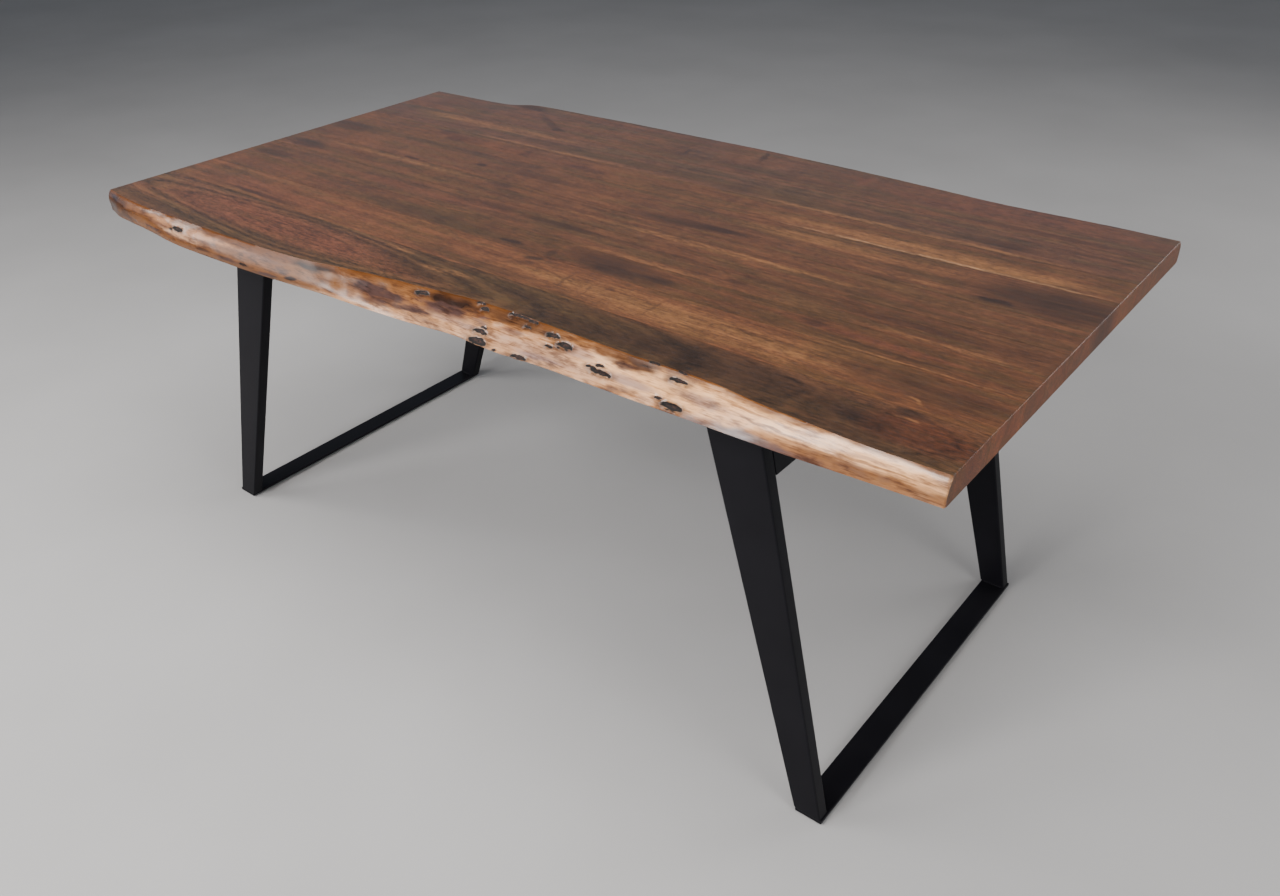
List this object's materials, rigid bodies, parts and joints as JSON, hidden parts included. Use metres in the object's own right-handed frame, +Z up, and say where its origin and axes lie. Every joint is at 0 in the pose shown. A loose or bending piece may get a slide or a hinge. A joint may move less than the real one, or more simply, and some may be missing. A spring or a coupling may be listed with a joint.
{
  "type": "dining table",
  "caption": "Live-edge dining table with a top glued up from lengthwise hardwood staves, bolted to splayed black steel U-frames.",
  "frame": {"origin": "on the floor, under the middle of the table top's length and width", "axes": "+X along the staves, towards the end with the darker heartwood; +Y towards the rear live edge; +Z up"},
  "size_m": [1.8, 1.05, 0.76],
  "materials": {
    "hardwood": "oiled, satin",
    "black_steel": "satin powder coat",
    "fastener_steel": "black oxide",
    "insert_brass": "plain",
    "glide_rubber": "matt"
  },
  "bodies": {
    "root": {"front_live_edge_stave": "hardwood", "inner_stave_1": "hardwood", "inner_stave_2": "hardwood", "inner_stave_3": "hardwood", "inner_stave_4": "hardwood", "inner_stave_5": "hardwood", "inner_stave_6": "hardwood", "inner_stave_7": "hardwood", "back_live_edge_stave": "hardwood", "left_front_leg": "black_steel", "left_rear_leg": "black_steel", "left_crossbeam_outer_plate": "black_steel", "left_crossbeam_inner_plate": "black_steel", "left_top_plate": "black_steel", "left_foot_bar": "black_steel", "left_front_glide": "glide_rubber", "left_rear_glide": "glide_rubber", "left_bolt_1": "fastener_steel", "left_washer_1": "fastener_steel", "left_insert_1": "insert_brass", "left_bolt_2": "fastener_steel", "left_washer_2": "fastener_steel", "left_insert_2": "insert_brass", "left_bolt_3": "fastener_steel", "left_washer_3": "fastener_steel", "left_insert_3": "insert_brass", "left_bolt_4": "fastener_steel", "left_washer_4": "fastener_steel", "left_insert_4": "insert_brass", "right_front_leg": "black_steel", "right_rear_leg": "black_steel", "right_crossbeam_outer_plate": "black_steel", "right_crossbeam_inner_plate": "black_steel", "right_top_plate": "black_steel", "right_foot_bar": "black_steel", "right_front_glide": "glide_rubber", "right_rear_glide": "glide_rubber", "right_bolt_1": "fastener_steel", "right_washer_1": "fastener_steel", "right_insert_1": "insert_brass", "right_bolt_2": "fastener_steel", "right_washer_2": "fastener_steel", "right_insert_2": "insert_brass", "right_bolt_3": "fastener_steel", "right_washer_3": "fastener_steel", "right_insert_3": "insert_brass", "right_bolt_4": "fastener_steel", "right_washer_4": "fastener_steel", "right_insert_4": "insert_brass"}
  },
  "joints": []
}
